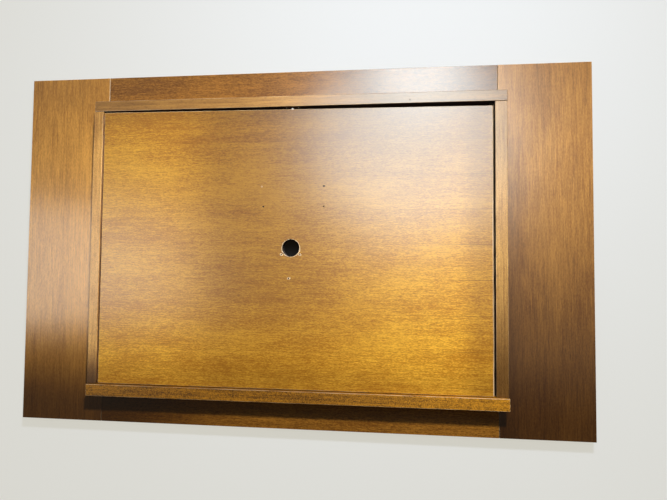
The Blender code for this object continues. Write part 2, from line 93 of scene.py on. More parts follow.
# Wall and floor
WALL_GAP = 0.0005
WALL_REACH = 4.0
WALL_GLOW = (0.600, 0.580, 0.505)
WALL_LIT = (0.140, 0.165, 0.225)
WALL_COVERED = (0.20, 0.20, 0.19)
# Painted shade on the wall behind the cable hole
WALL_HOLE = (0.003, 0.003, 0.003)
WALL_HOLE_RADIUS = 0.055
COVERED_MARGIN = 0.020
FLOOR_DROP = 1.35
FLOOR_REACH = 12.0
FLOOR_SIDES = 96
FLOOR_GLOW = (0.50, 0.50, 0.485)
FLOOR_LIT = (0.22, 0.22, 0.21)

# Wood colours
LEFT_STILE_DARK = (0.39, 0.166, 0.022)
LEFT_STILE_LIGHT = (0.74, 0.365, 0.064)
RIGHT_STILE_DARK = (0.224, 0.088, 0.014)
RIGHT_STILE_LIGHT = (0.468, 0.226, 0.046)
TOP_RAIL_DARK = (0.130, 0.046, 0.004)
TOP_RAIL_LIGHT = (0.330, 0.140, 0.018)
BOTTOM_RAIL_DARK = (0.130, 0.045, 0.004)
BOTTOM_RAIL_LIGHT = (0.330, 0.140, 0.016)
DOOR_DARK = (0.495, 0.200, 0.008)
DOOR_LIGHT = (0.930, 0.500, 0.041)
BATTEN_DARK = (0.190, 0.078, 0.013)
BATTEN_LIGHT = (0.510, 0.264, 0.057)
# The side battens are one timber in two copies: the left one is lighter as painted light
LEFT_BATTEN_DARK = (0.400, 0.175, 0.034)
LEFT_BATTEN_LIGHT = (0.880, 0.490, 0.130)
RIGHT_BATTEN_DARK = (0.285, 0.125, 0.023)
RIGHT_BATTEN_LIGHT = (0.620, 0.345, 0.084)
LEDGE_DARK = (0.110, 0.040, 0.002)
LEDGE_LIGHT = (0.555, 0.240, 0.012)
STOP_LIGHT = (0.05, 0.022, 0.010)
PINE_DARK = (0.50, 0.29, 0.13)
PINE_LIGHT = (0.74, 0.55, 0.33)
BEECH_DARK = (0.52, 0.34, 0.19)
BEECH_LIGHT = (0.74, 0.55, 0.36)
RAW_DARK = (0.36, 0.22, 0.115)
RAW_LIGHT = (0.62, 0.45, 0.275)
TORN_DARK = (0.60, 0.40, 0.19)
TORN_LIGHT = (0.88, 0.70, 0.45)
# Near-black spots: rings of painted shade around pilot holes, and a nail spot
DARK_SPOT_LOW = (0.012, 0.006, 0.003)
DARK_SPOT_HIGH = (0.060, 0.028, 0.010)
FILLER_DARK = (0.38, 0.23, 0.09)
FILLER_LIGHT = (0.58, 0.40, 0.19)
# Pale of worn edges, also used as painted highlight where light catches an eased edge
WORN_AND_HIGHLIT_PALE = (0.86, 0.68, 0.44)
KNOT_BROWN = (0.17, 0.075, 0.030)
# Near-black painted shade for faces inside the gaps and the walls of holes
PAINTED_GAP_SHADE = (0.014, 0.005, 0.004)
FIBRE_TINT = (1.0, 0.85, 0.60)
WHITE = (1.0, 1.0, 1.0)

# Metal colours
BRONZE_DARK = (0.022, 0.009, 0.004)
BRONZE_LIGHT = (0.110, 0.050, 0.022)
ZINC_DARK = (0.36, 0.34, 0.29)
ZINC_LIGHT = (0.68, 0.65, 0.58)
NICKEL_DARK = (0.20, 0.18, 0.16)
NICKEL_LIGHT = (0.42, 0.39, 0.35)

# Grain of veneer, in cycles a metre along and across the fibres
SWAY_GRAIN = (2.6, 5.0)
RIPPLE_GRAIN = (11.0, 16.0)
RIPPLE_WIDTH = 0.0035
FIGURE_GRAIN = (1.6, 24.0)
BLOTCH_GRAIN = (4.0, 9.0)
CLUSTER_GRAIN = (6.0, 15.0)
FLOW_GRAIN = (9.0, 14.0)
UPRIGHT_FIBRES = {
    "dash": (13.0, 150.0),
    "streak": (3.0, 60.0),
    "speck": (110.0, 260.0),
    "ticks": 1.6,
    "lines": 0.9,
    "figure": 0.5,
    "blotch": 0.9,
    "grit": 1.3,
    "sway": 0.008,
    "joints": (0.8, 1.2),
}
LEVEL_FIBRES = {
    "dash": (46.0, 330.0),
    "streak": (9.0, 190.0),
    "speck": (150.0, 420.0),
    "ticks": 2.0,
    "lines": 1.0,
    "figure": 0.7,
    "blotch": 1.1,
    "grit": 2.3,
    "sway": 0.020,
    "joints": (0.42, 0.58),
}

# Varnish of veneer: "thin" holds the heights between which the coat thickens, and its share at the lower one
VARNISH = {
    "specular": 0.06,
    "tint": FIBRE_TINT,
    "stretch": 0.5,
    "rough": 0.48,
    "coat": 0.30,
    "weight": 0.75,
    "thin": (-0.45, -0.15, 0.25),
}
HIGH_GLOSS = {"specular": 0.025, "tint": WHITE, "stretch": 0.0, "rough": 0.25, "weight": 0.62, "coat": 0.25}
# A pale strip beside an edge: worn varnish and painted highlight
PALE_STRIP_START = 0.0036
PALE_STRIP_FULL = 0.0022
PALE_STRIP_RISE = 0.02
BORE_DARK_START = 0.0003
BORE_DARK_FULL = 0.0015

# Grain of solid timber
TIMBER_SWAY_GRAIN = (2.2, 9.0)
TIMBER_SWAY = 0.022
TIMBER_STREAKS = (14.0, 260.0)
TIMBER_SPECKS = (85.0, 380.0)
TIMBER_KNOTS = (2.6, 11.0)
TIMBER_MOTTLE = 330.0
TIMBER_THIN = (-0.48, -0.15)
FRAME_RING = 0.006
PINE_RING = 0.007
BEECH_RING = 0.004
PINE_PITH_OFFSET = 0.030
PINE_PITH_DEPTH = 0.05
BACKER_PLIES = 11

# Depth of the relief
VENEER_RELIEF = 0.00022
FLOW_RELIEF = 0.0010
WOOD_RELIEF = 0.0003
METAL_RELIEF = 0.00006
TORN_RELIEF = 0.0002

# Holes and marks, placed from the panel's centre
CABLE_HOLE = (0.001, -0.003)
CABLE_HOLE_RADIUS = 0.0290
PILOT_RADIUS = 0.0023
PILOTS = {
    "upper_right": (0.109, 0.201),
    "lower_right": (0.109, 0.134),
    "lower_left": (-0.093, 0.134),
    "rim_left": (-0.0296, -0.0245),
    "rim_right": (0.0316, -0.0245),
    "low": (-0.005, -0.103),
}
PILOT_CHIPS = {"upper_right": 0.0016, "lower_right": 0.0010, "lower_left": 0.0014}
WIDE_CHIP = 0.0045
CABLE_CHIP = 0.0042
CABLE_CHIP_ABOVE = 0.6
PILOT_CHIP_STEPS = 18
CABLE_CHIP_STEPS = 84
CABLE_CHIP_SEED = 40
CHIP_LIFT = 0.00012
CHIP_LIFT_SPREAD = 0.00022
CHIP_FOOT = 0.0004
RIM_SINK = 0.0001
FILLED_HOLE = (-0.099, 0.201)
FILLED_HOLE_RADIUS = 0.0034
FILLED_HOLE_SEED = 3
BATTEN_NAIL = (0.388, 0.480)
BATTEN_NAIL_RADIUS = 0.0026
BATTEN_NAIL_SEED = 8
SPOT_STEPS = 18
SPOT_TOP = 0.0005
SPOT_SHOULDER = 0.0004

# Screws
SCREW_SIDES = 16
RINGS_PER_TURN = 4
BATTEN_SHANK = 0.0020
BATTEN_PITCH = 0.0026
SMALL_SHANK = 0.0013
SMALL_PITCH = 0.0012
RIM_SHARE = 0.15
NECK_SHARE = 0.9
CORE_SHARE = 0.68
CREST_SHARE = 0.32
POINT_CREST_SHARE = 0.30
POINT_SHANKS = 3
POINT_ROWS = 4
RIDGE_STEEPNESS = 3.2
RECESS_REACH = 0.62
RECESS_HALF_WIDTH = 0.14
RECESS_TAPER = 0.5
RECESS_DEPTH = 0.75

stile_low, stile_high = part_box("left_stile")
door_low, door_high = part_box("door_panel")
centre_z = (stile_low.z + stile_high.z) / 2
half_height = (stile_high.z - stile_low.z) / 2
panel_high = Vector(cad_box[1])
frame_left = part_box("left_batten")[0].x
frame_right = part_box("right_batten")[1].x
frame_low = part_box("left_batten")[0].z - centre_z
frame_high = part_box("left_batten")[1].z - centre_z
frame_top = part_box("top_batten")[1].z - centre_z


def from_centre(place):
    """A place given from the panel's centre on the wall, in the frame's own coordinates."""
    return Vector(place) + Vector((0.0, 0.0, centre_z))


class Graph:
    """A material's nodes, with short calls that add and link them."""

    def __init__(self, name):
        self.material = bpy.data.materials.new(name)
        self.material.use_nodes = True
        self.nodes = self.material.node_tree.nodes
        self.links = self.material.node_tree.links
        self.shader = self.nodes["Principled BSDF"]
        source = self.add("ShaderNodeTexCoord")
        self.place = source.outputs["Object"]
        self.facing = self.split(source.outputs["Normal"])
        self.right, self.back, height = self.split(self.place)
        self.up = self.maths("SUBTRACT", height, centre_z)

    def plug(self, socket, value):
        """Link a socket, or set its value."""
        if isinstance(value, bpy.types.NodeSocket):
            self.links.new(value, socket)
        elif socket.type == "RGBA" and len(value) == 3:
            socket.default_value = (*value, 1.0)
        else:
            socket.default_value = value

    def add(self, kind, inputs=(), **settings):
        """Add a node, with its settings and inputs."""
        node = self.nodes.new(kind)
        for name, value in settings.items():
            setattr(node, name, value)
        for key, value in dict(inputs).items():
            self.plug(node.inputs[key], value)
        return node

    def maths(self, operation, *values):
        """One sum on one or more values."""
        return self.add("ShaderNodeMath", dict(enumerate(values)), operation=operation).outputs[0]

    def total(self, *values):
        """Add several values."""
        result = values[0]
        for value in values[1:]:
            result = self.maths("ADD", result, value)
        return result

    def times(self, *values):
        """Multiply several values."""
        result = values[0]
        for value in values[1:]:
            result = self.maths("MULTIPLY", result, value)
        return result

    def around(self, value, amount):
        """A noise value shifted to lie around zero and scaled."""
        return self.maths("MULTIPLY", self.maths("SUBTRACT", value, 0.5), amount)

    def fade(self, value, low, high, start=0.0, end=1.0):
        """Run smoothly from start to end while a value goes from low to high."""
        inputs = {"Value": value, "From Min": low, "From Max": high, "To Min": start, "To Max": end}
        return self.add("ShaderNodeMapRange", inputs, interpolation_type="SMOOTHSTEP").outputs["Result"]

    def away(self, across, up):
        """The distance from a point on the front."""
        off_across = self.maths("SUBTRACT", self.right, across)
        off_up = self.maths("SUBTRACT", self.up, up)
        offset = self.join(off_across, off_up, 0.0)
        return self.add("ShaderNodeVectorMath", {0: offset}, operation="LENGTH").outputs["Value"]

    def mix(self, factor, first, second, blend="MIX"):
        """Mix two colours."""
        inputs = {0: factor, 6: first, 7: second}
        return self.add("ShaderNodeMix", inputs, data_type="RGBA", blend_type=blend).outputs[2]

    def split(self, vector):
        """The three parts of a vector."""
        return self.add("ShaderNodeSeparateXYZ", {0: vector}).outputs[:]

    def join(self, *parts):
        """A vector from three parts."""
        return self.add("ShaderNodeCombineXYZ", dict(enumerate(parts))).outputs[0]

    def noise(self, vector, detail=2.0, rough=0.55):
        """Cloudy noise, whose scale is already in its coordinates."""
        inputs = {"Vector": vector, "Scale": 1.0, "Detail": detail, "Roughness": rough}
        return self.add("ShaderNodeTexNoise", inputs).outputs[0]

    def grain(self, along, across, scales, offset=0.0, **settings):
        """Noise stretched along the fibres: scales are in cycles a metre along and across them."""
        place = self.join(self.times(along, scales[0]), self.times(across, scales[1]), offset)
        return self.noise(place, **settings)

    def in_solid(self, along, across, back, scales):
        """Coordinates in solid wood: scales are in cycles a metre along the fibres and across them."""
        both_ways = [self.times(part, scales[1]) for part in (across, back)]
        return self.join(self.times(along, scales[0]), *both_ways)

    def cloud(self, scale, offset=0.0, **settings):
        """Noise that is alike in all directions, with its scale in cycles a metre."""
        place = self.add("ShaderNodeVectorMath", {0: self.place, 1: (scale,) * 3, 2: (offset,) * 3})
        place.operation = "MULTIPLY_ADD"
        return self.noise(place.outputs[0], **settings)

    def bump(self, height, distance, strength=1.0):
        """A normal from a height."""
        inputs = {"Height": height, "Distance": distance, "Strength": strength}
        return self.add("ShaderNodeBump", inputs).outputs[0]

    def edge_mask(self, low=0.90, high=0.99):
        """One on the eased edges, nought on the flat faces."""
        parts = [self.maths("ABSOLUTE", part) for part in self.facing]
        largest = self.maths("MAXIMUM", self.maths("MAXIMUM", parts[0], parts[1]), parts[2])
        return self.fade(largest, low, high, 1.0, 0.0)

    def faces(self, axis, sign):
        """One on the faces that look along an axis."""
        return self.fade(self.times(self.facing[axis], sign), 0.5, 0.8)

    def shade_line(self, value, place, width, amount, height=None):
        """A level of painted shade along a line, only beside the raised frame if a height is given."""
        distance = self.maths("ABSOLUTE", self.maths("SUBTRACT", value, place))
        line = self.fade(distance, 0.0, width, amount, 0.0)
        if height is not None:
            line = self.times(line, self.fade(height, frame_low, frame_low + width))
            line = self.times(line, self.fade(height, frame_high - width, frame_high, 1.0, 0.0))
        return self.maths("SUBTRACT", 1.0, line)

    def across_fibres(self, axis):
        """A direction at right angles to the fibres, which turns with the piece."""
        inputs = {0: (0.0, 0.0, 1.0) if axis == "X" else (1.0, 0.0, 0.0)}
        settings = {"vector_type": "VECTOR", "convert_from": "OBJECT", "convert_to": "WORLD"}
        return self.add("ShaderNodeVectorTransform", inputs, **settings).outputs[0]

    def fibre_axes(self, axis):
        """The coordinates along and across the fibres, and into the board."""
        return (self.right, self.up, self.back) if axis == "X" else (self.up, self.right, self.back)

    def deepen(self, colour, level):
        """Darken a colour by a level, and deepen its hue as it goes down."""
        levels = self.join(level, self.maths("POWER", level, 1.12), self.maths("POWER", level, 1.22))
        return self.mix(1.0, colour, levels, "MULTIPLY")

    def seen(self):
        """One for the camera, for mirrors and through clear pieces, nought for light on other pieces."""
        path = self.add("ShaderNodeLightPath").outputs
        looked_at = self.maths("MAXIMUM", path["Is Camera Ray"], path["Is Glossy Ray"])
        return self.maths("MAXIMUM", looked_at, path["Is Transmission Ray"])

    def finish(self, **inputs):
        """Set the shader's inputs, named with underscores for spaces."""
        for name, value in inputs.items():
            self.plug(self.shader.inputs[name.replace("_", " ")], value)
        return self.material


def veneer(name, axis, dark, light, seed, shade, fibres, leaf, wear_and_highlight=0.7, raw_side=None, gloss=None):
    """Varnished veneer in leaves, bare on its back and on the edges of a seam."""
    graph = Graph(name)
    look = VARNISH | (gloss or {})
    leaf_width, leaf_start = leaf
    along, across, back = graph.fibre_axes(axis)
    wander = graph.around(graph.grain(along, across, SWAY_GRAIN, seed), fibres["sway"])
    ripple = graph.around(graph.grain(along, across, RIPPLE_GRAIN, seed + 2.0), RIPPLE_WIDTH)
    leaf_place = graph.times(graph.maths("SUBTRACT", across, leaf_start), 1.0 / leaf_width)
    leaf_number = graph.maths("FLOOR", leaf_place)
    joint = graph.maths("PINGPONG", leaf_place, 0.5)
    across = graph.total(across, wander, ripple)
    leaf_tone = graph.add("ShaderNodeTexWhiteNoise", {"W": leaf_number}, noise_dimensions="1D").outputs[0]

    dash = fibres["dash"]
    figure = graph.grain(along, across, FIGURE_GRAIN, graph.times(leaf_tone, 5.0), detail=3.0)
    dashes = graph.grain(along, across, dash, seed + 4.0, detail=4.0, rough=0.68)
    streaks = graph.grain(along, across, fibres["streak"], seed + 6.0, detail=3.0)
    blotch = graph.grain(along, across, BLOTCH_GRAIN, seed + 8.0)
    specks = graph.grain(along, across, fibres["speck"], seed + 14.0)
    cluster = graph.grain(along, across, CLUSTER_GRAIN, seed + 10.0)
    pores = graph.grain(along, across, (dash[0] * 1.5, dash[1] * 1.3), seed + 12.0)
    flecks = graph.grain(along, across, (dash[0] * 1.2, dash[1] * 1.1), seed + 16.0)
    fine = graph.grain(along, across, (dash[0] * 0.6, dash[1] * 4.0), seed + 18.0)
    pore_mask = graph.times(graph.fade(pores, 0.54, 0.68), graph.fade(cluster, 0.38, 0.62))
    fleck_mask = graph.times(graph.fade(flecks, 0.56, 0.70), graph.fade(cluster, 0.62, 0.40))
    fine_mask = graph.times(graph.fade(fine, 0.52, 0.66), 0.45)
    joint_mask = graph.times(graph.fade(joint, 0.0, 0.013, 1.0, 0.0), graph.fade(along, *fibres["joints"]))

    tone = graph.total(
        0.5,
        graph.around(figure, fibres["figure"]),
        graph.around(dashes, fibres["ticks"]),
        graph.around(streaks, fibres["lines"]),
        graph.around(specks, fibres["grit"]),
        graph.around(blotch, fibres["blotch"]),
        graph.around(leaf_tone, 0.22),
    )
    colour = graph.mix(tone, dark, light)
    dark_marks = graph.maths("MAXIMUM", graph.times(pore_mask, 0.45), fine_mask)
    dark_marks = graph.maths("MAXIMUM", dark_marks, joint_mask)
    colour = graph.mix(dark_marks, colour, [part * 0.55 for part in dark])
    colour = graph.mix(graph.times(fleck_mask, 0.50), colour, [min(1.0, part * 1.12) for part in light])
    # The board's painted light and shade darkens the colour and deepens its hue
    level = shade(graph)
    colour = graph.deepen(colour, level)

    # Pale eased edges, and a pale strip beside a seam or gap: worn varnish and painted highlight
    pale_edges = graph.times(graph.edge_mask(), graph.fade(streaks, 0.25, 0.55))
    if "pale_edge_strip" in fibres:
        edge, lowest = fibres["pale_edge_strip"]
        beside = graph.fade(graph.right, edge - PALE_STRIP_START, edge - PALE_STRIP_FULL)
        pale_strip = graph.times(beside, graph.fade(graph.up, lowest, lowest + PALE_STRIP_RISE), graph.faces(1, -1.0))
        pale_edges = graph.maths("MAXIMUM", pale_edges, graph.times(pale_strip, graph.fade(blotch, 0.30, 0.65, 0.3, 0.8)))
    pale_edges = graph.times(pale_edges, graph.maths("POWER", level, 0.4), wear_and_highlight)
    colour = graph.mix(pale_edges, colour, WORN_AND_HIGHLIT_PALE)

    behind = graph.faces(1, 1.0)
    raw = behind
    if raw_side is not None:
        raw = graph.maths("MAXIMUM", raw, graph.faces(0, raw_side))
    bare = graph.mix(graph.total(0.20, graph.times(tone, 0.45)), RAW_DARK, RAW_LIGHT)
    # Bare seam edges take the painted light and shade too; the bare back does not
    bare = graph.mix(behind, graph.deepen(bare, level), bare)
    colour = graph.mix(raw, colour, bare)

    # Painted shade on the walls of the holes, beyond their rim
    inside = 0.0
    for centre, radius in fibres.get("bores", ()):
        bore = graph.fade(graph.away(*centre), radius * 1.06, radius * 1.12, 1.0, 0.0)
        inside = graph.maths("MAXIMUM", inside, bore)
    inside = graph.times(inside, graph.fade(back, door_low.y + BORE_DARK_START, door_low.y + BORE_DARK_FULL))
    colour = graph.mix(inside, colour, PAINTED_GAP_SHADE)

    rough = graph.total(
        look["rough"],
        graph.around(dashes, 0.12),
        graph.around(blotch, 0.08),
        graph.times(raw, 0.25),
    )
    relief = graph.total(graph.times(dashes, 0.6), graph.times(streaks, 0.4), graph.times(pore_mask, -1.0))
    low, high, share = look["thin"]
    sealed = graph.maths("SUBTRACT", 1.0, graph.maths("MAXIMUM", raw, inside))
    varnished = graph.times(sealed, graph.fade(graph.up, low, high, share, 1.0))
    flow = graph.grain(along, across, FLOW_GRAIN, seed + 20.0, detail=1.0)
    return graph.finish(
        Base_Color=colour,
        Roughness=graph.maths("MAXIMUM", rough, inside),
        Specular_IOR_Level=look["specular"],
        Specular_Tint=look["tint"],
        Anisotropic=look["stretch"],
        Tangent=graph.across_fibres(axis),
        Normal=graph.bump(relief, VENEER_RELIEF, 0.5),
        Coat_Weight=graph.times(varnished, look["weight"]),
        Coat_Roughness=look["coat"],
        Coat_Normal=graph.bump(flow, FLOW_RELIEF, 0.30),
    )


def timber(
    name,
    axis,
    dark,
    light,
    pith,
    ring,
    seed,
    shade,
    rough=0.45,
    coat=0.65,
    specks=0.45,
    shaded_faces=(),
    knots=0.0,
    wear_and_highlight=0.5,
    mottle=0.5,
    thin=1.0,
):
    """Solid timber: growth rings around a pith line that runs along the fibres."""
    graph = Graph(name)
    along, across, back = graph.fibre_axes(axis)
    sway = graph.around(graph.grain(along, across, TIMBER_SWAY_GRAIN, seed), TIMBER_SWAY)
    off_across = graph.total(across, -pith[0], sway)
    off_back = graph.maths("SUBTRACT", back, pith[1])
    squares = graph.total(graph.times(off_across, off_across), graph.times(off_back, off_back))
    radius = graph.maths("SQRT", squares)
    ring_place = graph.join(graph.times(radius, 1.0 / ring), graph.times(along, 0.9), seed)
    rings = graph.noise(ring_place, detail=3.0)
    streaks = graph.noise(graph.in_solid(along, across, back, TIMBER_STREAKS), detail=3.0)
    speck_noise = graph.noise(graph.in_solid(along, across, back, TIMBER_SPECKS))
    speck_mask = graph.fade(speck_noise, 0.54, 0.68)
    blotch = graph.grain(along, across, BLOTCH_GRAIN, seed + 4.0)
    fine = graph.cloud(TIMBER_MOTTLE, seed, detail=3.0)
    tone = graph.total(
        0.5,
        graph.around(rings, 1.4),
        graph.around(streaks, 1.2),
        graph.around(blotch, 1.0),
        graph.around(fine, mottle),
    )
    colour = graph.mix(tone, dark, light)
    colour = graph.mix(graph.times(speck_mask, specks), colour, [part * 0.6 for part in dark])
    if knots > 0.0:
        knot_place = graph.in_solid(along, across, back, TIMBER_KNOTS)
        spots = graph.add("ShaderNodeTexVoronoi", {"Vector": knot_place, "Scale": 1.0}).outputs["Distance"]
        knot = graph.times(graph.fade(spots, 0.17, 0.10), knots)
        colour = graph.mix(knot, colour, KNOT_BROWN)
    # The piece's painted light and shade darkens the colour and deepens its hue
    level = shade(graph)
    colour = graph.deepen(colour, level)
    # Pale eased edges: worn varnish and painted highlight where light catches the edge
    pale_edges = graph.times(graph.edge_mask(), graph.fade(streaks, 0.30, 0.60), level, wear_and_highlight)
    colour = graph.mix(pale_edges, colour, WORN_AND_HIGHLIT_PALE)
    # Painted shade on the faces that look into the gaps
    gap_shade = 0.0
    for facing_axis, sign in shaded_faces:
        gap_shade = graph.maths("MAXIMUM", graph.faces(facing_axis, sign), gap_shade)
    colour = graph.mix(gap_shade, colour, PAINTED_GAP_SHADE)
    relief = graph.total(graph.times(streaks, 0.6), graph.times(speck_mask, -0.8))
    varnished = graph.fade(graph.up, *TIMBER_THIN, thin, 1.0)
    return graph.finish(
        Base_Color=colour,
        Roughness=graph.total(rough, graph.around(streaks, 0.15), graph.times(gap_shade, 0.6)),
        Specular_IOR_Level=0.12,
        Specular_Tint=FIBRE_TINT,
        Anisotropic=0.5,
        Tangent=graph.across_fibres(axis),
        Normal=graph.bump(relief, WOOD_RELIEF, 0.6),
        Coat_Weight=graph.times(graph.maths("SUBTRACT", 1.0, gap_shade), varnished, coat),
        Coat_Roughness=0.30,
    )


def plywood(name, layers):
    """Bare plywood: face veneer on the flat sides, and light and dark plies on the edges."""
    graph = Graph(name)
    low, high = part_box(name)
    depth = graph.times(graph.maths("SUBTRACT", graph.back, low.y), layers / (high.y - low.y))
    ply = graph.maths("MODULO", graph.maths("FLOOR", depth), 2.0)
    streaks = graph.grain(graph.up, graph.right, (6.0, 150.0), 3.0, detail=3.0)
    figure = graph.grain(graph.up, graph.right, (1.8, 16.0), 5.0, detail=3.0)
    end_specks = graph.cloud(900.0, 2.0)
    face = graph.mix(graph.total(graph.around(figure, 1.6), streaks), RAW_DARK, RAW_LIGHT)
    edge = graph.mix(graph.total(graph.times(ply, 0.7), graph.around(end_specks, 0.9)), RAW_DARK, RAW_LIGHT)
    flat = graph.fade(graph.maths("ABSOLUTE", graph.facing[1]), 0.4, 0.8)
    upright = graph.maths("SUBTRACT", 1.0, flat)
    colour = graph.mix(flat, edge, face)
    # Painted shade on the wall of the cable hole
    from_hole = graph.away(*CABLE_HOLE)
    hole = graph.fade(from_hole, CABLE_HOLE_RADIUS * 1.02, CABLE_HOLE_RADIUS * 1.08, 1.0, 0.0)
    colour = graph.mix(graph.times(hole, upright), colour, PAINTED_GAP_SHADE)
    relief = graph.total(graph.times(streaks, flat), graph.times(ply, upright))
    return graph.finish(
        Base_Color=colour,
        Roughness=graph.total(0.78, graph.around(streaks, 0.2)),
        Specular_IOR_Level=0.08,
        Normal=graph.bump(relief, WOOD_RELIEF, 0.6),
    )


def metal(name, dark, light, rough, spangle, seed):
    """Plated metal: cloudy tarnish, fine scratches and a mottled skin."""
    graph = Graph(name)
    tarnish = graph.cloud(140.0, seed, detail=4.0, rough=0.65)
    scratch = graph.grain(graph.up, graph.right, (60.0, 2600.0), seed + 2.0)
    cells = graph.add("ShaderNodeTexVoronoi", {"Vector": graph.place, "Scale": spangle}).outputs["Color"]
    mottle = graph.split(cells)[0]
    tone = graph.total(
        graph.around(tarnish, 1.8),
        graph.around(mottle, 0.3),
        graph.around(scratch, 0.5),
        0.55,
    )
    pale_edges = graph.times(graph.edge_mask(), 0.5)
    colour = graph.mix(pale_edges, graph.mix(tone, dark, light), [min(1.0, part * 1.25) for part in light])
    return graph.finish(
        Base_Color=colour,
        Metallic=1.0,
        Roughness=graph.total(rough, graph.around(tarnish, 0.5), graph.around(scratch, 0.2)),
        Normal=graph.bump(graph.total(scratch, graph.times(mottle, 0.4)), METAL_RELIEF, 0.5),
    )


def torn_wood(name, dark, light, seed):
    """Torn bare wood, near-black spots or filler."""
    graph = Graph(name)
    fibres = graph.grain(graph.right, graph.up, (260.0, 1500.0), seed, detail=3.0)
    clots = graph.cloud(700.0, seed + 2.0, detail=3.0)
    colour = graph.mix(graph.total(graph.around(clots, 1.6), fibres), dark, light)
    return graph.finish(
        Base_Color=colour,
        Roughness=graph.total(0.75, graph.around(clots, 0.3)),
        Normal=graph.bump(graph.total(fibres, clots), TORN_RELIEF, 0.8),
    )


# Painted light and shade over a board: each is one where the colours hold, with places in metres from the
# panel's centre


def even_shade(graph):
    """No change of tone over a board."""
    return graph.fade(graph.up, -half_height, half_height, 1.0, 1.0)


def left_stile_shade(graph):
    """Painted shade: dark at the foot, a little at the top, and along the left batten."""
    foot = graph.fade(graph.up, -0.56, -0.20, 0.14, 1.0)
    top = graph.fade(graph.up, 0.32, 0.60, 1.0, 0.72)
    seam = graph.shade_line(graph.right, frame_left, 0.006, 0.6, graph.up)
    return graph.times(foot, top, seam)


def right_stile_shade(graph):
    """Painted shade to the foot, at the top and beside the batten; painted light at the outer edge."""
    foot = graph.fade(graph.up, -0.58, 0.28, 0.18, 1.0)
    top = graph.fade(graph.up, 0.25, 0.60, 1.0, 0.70)
    least = graph.fade(graph.up, 0.30, 0.46, 0.58, 1.05)
    beside = graph.fade(graph.right, frame_right, frame_right + 0.085, least, 1.0)
    outer = graph.fade(graph.right, frame_right + 0.10, frame_right + 0.20, 1.0, 1.10)
    seam = graph.shade_line(graph.right, frame_right, 0.006, 0.4, graph.up)
    return graph.times(foot, top, beside, outer, seam)


def top_rail_shade(graph):
    """Painted shade: darker at the right end and along the top batten."""
    right_end = graph.fade(graph.right, 0.0, 0.30, 1.0, 0.40)
    seam = graph.shade_line(graph.up, frame_top, 0.008, 0.5)
    return graph.times(right_end, seam)


def bottom_rail_shade(graph):
    """Painted shade at the left end, painted shadow under the ledge, painted light at the right end."""
    left_end = graph.fade(graph.right, -0.66, -0.05, 0.20, 1.0)
    right_end = graph.fade(graph.right, 0.0, 0.5, 1.0, 1.14)
    # The ledge's shadow, painted on the rail
    covered = graph.fade(graph.up, -0.575, -0.550, 1.0, 0.50)
    return graph.times(left_end, right_end, covered)


def top_batten_shade(graph):
    """Painted shade: darker at both ends, most of all at the right."""
    left_end = graph.fade(graph.right, -0.68, -0.20, 0.66, 0.92)
    least = graph.fade(graph.right, 0.50, 0.68, 0.30, 0.40)
    right_end = graph.fade(graph.right, 0.0, 0.34, 1.0, least)
    return graph.times(left_end, right_end)


def left_batten_shade(graph):
    """Painted shade: darker at the foot and the top."""
    foot = graph.fade(graph.up, -0.46, -0.30, 0.12, 0.93)
    top = graph.fade(graph.up, 0.32, 0.42, 1.10, 0.73)
    return graph.times(foot, top)


def right_batten_shade(graph):
    """Painted shade: darker and darker from half height to the foot, and darker at the top."""
    foot = graph.fade(graph.up, -0.44, 0.02, 0.30, 1.11)
    top = graph.fade(graph.up, 0.13, 0.36, 1.0, 0.46)
    return graph.times(foot, top)


def ledge_shade(graph):
    """Painted light: lighter towards the right end."""
    return graph.fade(graph.right, 0.10, 0.55, 0.80, 1.15)


def door_shade(graph):
    """Painted shade at the top, the edges and the upper right corner; also darker across the middle."""
    level = graph.fade(graph.up, 0.60, -0.50, 0.68, 1.05)
    left_gain = graph.fade(graph.up, -0.10, 0.35, 0.28, 0.46)
    left_end = graph.times(graph.fade(graph.right, -0.45, -0.20, 1.0, 0.0), left_gain)
    dip = graph.fade(graph.up, -0.36, -0.12, 0.68, 0.53)
    middle = graph.total(left_end, graph.fade(graph.right, -0.10, 0.60, dip, 1.06))
    corner = graph.fade(graph.away(0.42, 0.50), 0.05, 0.64, 0.25, 1.0)
    top = graph.fade(graph.up, 0.39, 0.45, 1.0, 0.80)
    foot = graph.fade(graph.up, -0.44, -0.36, 0.80, 1.0)
    free_edge = graph.fade(graph.right, 0.53, 0.61, 1.0, 0.70)
    return graph.times(level, middle, corner, top, foot, free_edge)


def paint(node, material):
    """Give a node of the frame its finish."""
    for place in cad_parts[node].material_slots:
        place.material = material


